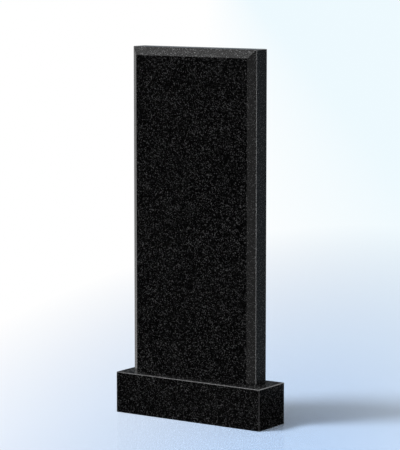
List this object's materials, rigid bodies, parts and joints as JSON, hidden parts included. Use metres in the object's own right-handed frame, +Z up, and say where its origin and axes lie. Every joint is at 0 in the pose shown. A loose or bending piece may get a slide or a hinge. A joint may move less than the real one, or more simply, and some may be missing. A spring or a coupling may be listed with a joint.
{
  "type": "headstone",
  "caption": "Upright polished black granite headstone: a tall slab framed by front bevels on its top and sides, standing on a low rectangular plinth.",
  "frame": {"origin": "centre of the plinth's underside, on the ground", "axes": "+Z up the headstone, +X across its width, -Y out of the inscription side, so a reader stands at -Y"},
  "size_m": [0.565, 0.152, 1.2163],
  "materials": {
    "black_granite": "polished"
  },
  "bodies": {
    "root": {"stele": "black_granite", "plinth": "black_granite"}
  },
  "joints": []
}
